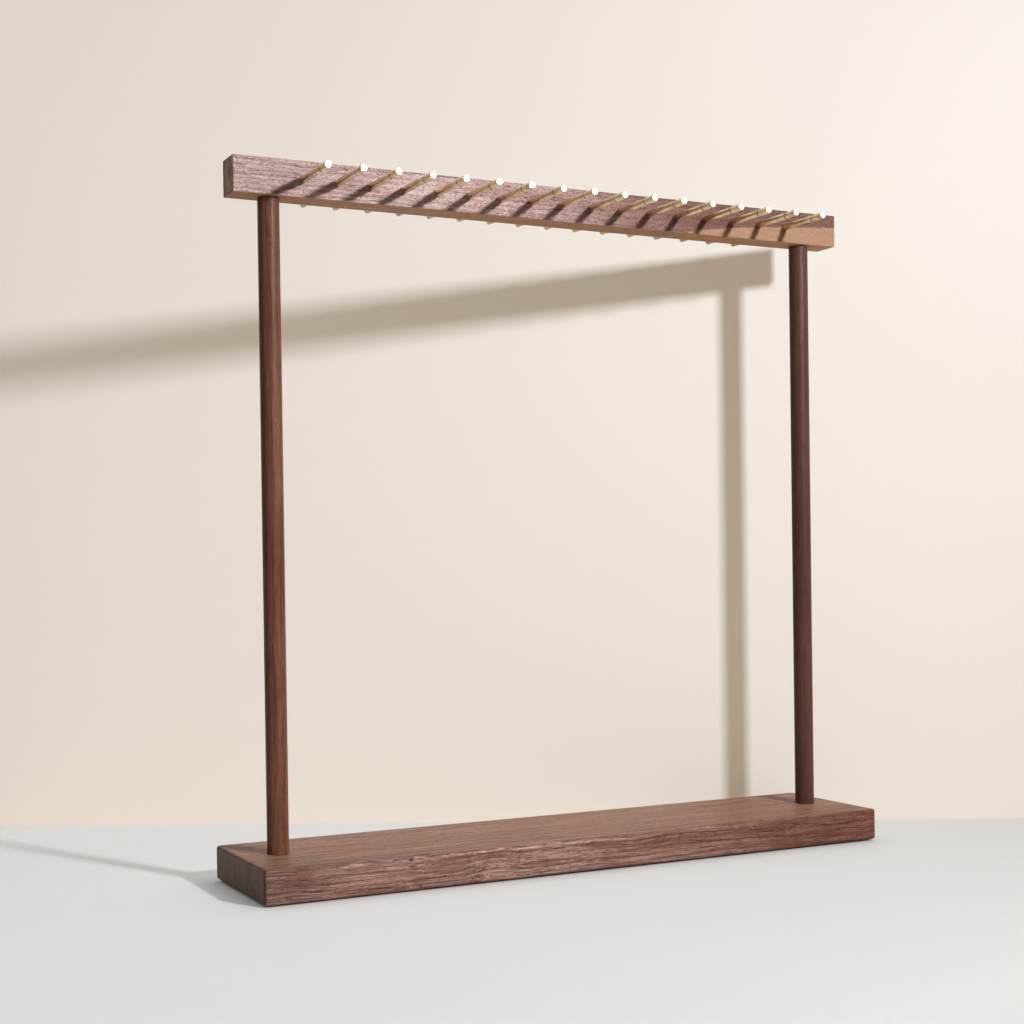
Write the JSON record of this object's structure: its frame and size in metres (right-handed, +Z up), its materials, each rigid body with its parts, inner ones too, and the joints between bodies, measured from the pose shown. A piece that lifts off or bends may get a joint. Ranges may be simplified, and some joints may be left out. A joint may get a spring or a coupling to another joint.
{
  "type": "necklace stand",
  "caption": "Free-standing wooden necklace stand: flat base, round posts and a top bar with a row of grooved metal pegs on each long side.",
  "frame": {"origin": "on the surface the stand rests on, under the middle of the base", "axes": "+X along the stand to the right, +Y from the front row of pegs to the back row, +Z up"},
  "size_m": [0.401, 0.097, 0.399],
  "materials": {
    "walnut_base": "oiled walnut board, satin, with edges sanded round",
    "walnut_post": "dark stained walnut dowel, smooth satin",
    "walnut_bar": "oiled walnut, satin, with a band of paler sapwood low on the front towards the right end",
    "brass": "turned brass, finely polished along the rod",
    "screw_steel": "zinc plated",
    "pad_rubber": "matt non-slip pad"
  },
  "bodies": {
    "root": {"base": "walnut_base", "left_post": "walnut_post", "right_post": "walnut_post", "top_bar": "walnut_bar", "peg_rod_01": "brass", "peg_rod_02": "brass", "peg_rod_03": "brass", "peg_rod_04": "brass", "peg_rod_05": "brass", "peg_rod_06": "brass", "peg_rod_07": "brass", "peg_rod_08": "brass", "peg_rod_09": "brass", "peg_rod_10": "brass", "peg_rod_11": "brass", "peg_rod_12": "brass", "peg_rod_13": "brass", "peg_rod_14": "brass", "peg_rod_15": "brass", "peg_rod_16": "brass", "peg_rod_17": "brass", "left_post_screw": "screw_steel", "right_post_screw": "screw_steel", "left_front_pad": "pad_rubber", "left_back_pad": "pad_rubber", "right_front_pad": "pad_rubber", "right_back_pad": "pad_rubber"}
  },
  "joints": []
}
